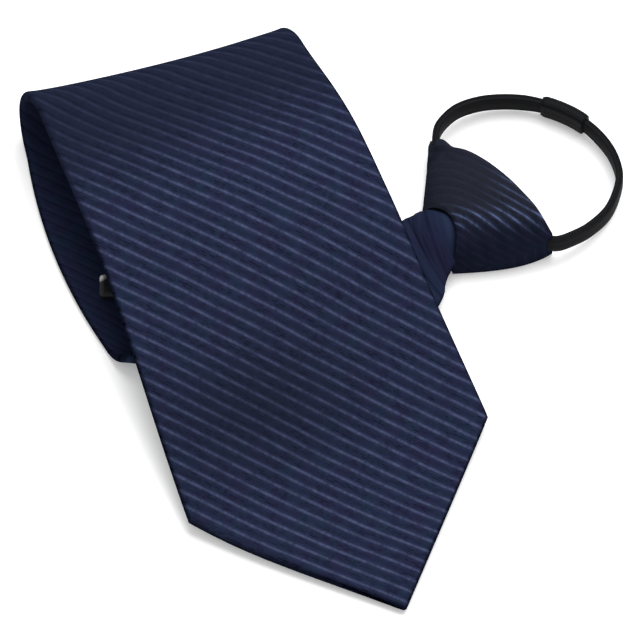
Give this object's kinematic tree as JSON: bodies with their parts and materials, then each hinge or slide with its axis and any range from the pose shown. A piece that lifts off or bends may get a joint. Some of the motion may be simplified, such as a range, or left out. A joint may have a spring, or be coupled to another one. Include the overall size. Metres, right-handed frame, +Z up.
{
  "type": "zipper tie",
  "caption": "Pre-tied necktie lying folded: a pointed ribbed satin blade rolled over on itself, a cone-shaped knot, a standing loop of zipper tape with a satin sleeve, and a zipper tail.",
  "frame": {"origin": "below the middle of the whole tie, on the surface that it lies on", "axes": "+Z up from the surface; +Y from the blade's point towards the roll at its top; +X from the blade towards the knot and neck loop"},
  "size_m": [0.1514, 0.1612, 0.0225],
  "materials": {
    "ribbed_satin": "navy satin with slanting ribs, soft sheen",
    "zipper_tape": "black woven tape, matte",
    "sleeve_satin": "black satin, soft sheen",
    "stop_metal": "dark nickel"
  },
  "bodies": {
    "root": {"blade": "ribbed_satin", "knot": "ribbed_satin", "neck_strand_left": "zipper_tape", "neck_strand_right": "zipper_tape", "neck_sleeve": "sleeve_satin", "zipper_tail": "zipper_tape", "tail_stop": "stop_metal"}
  },
  "joints": []
}
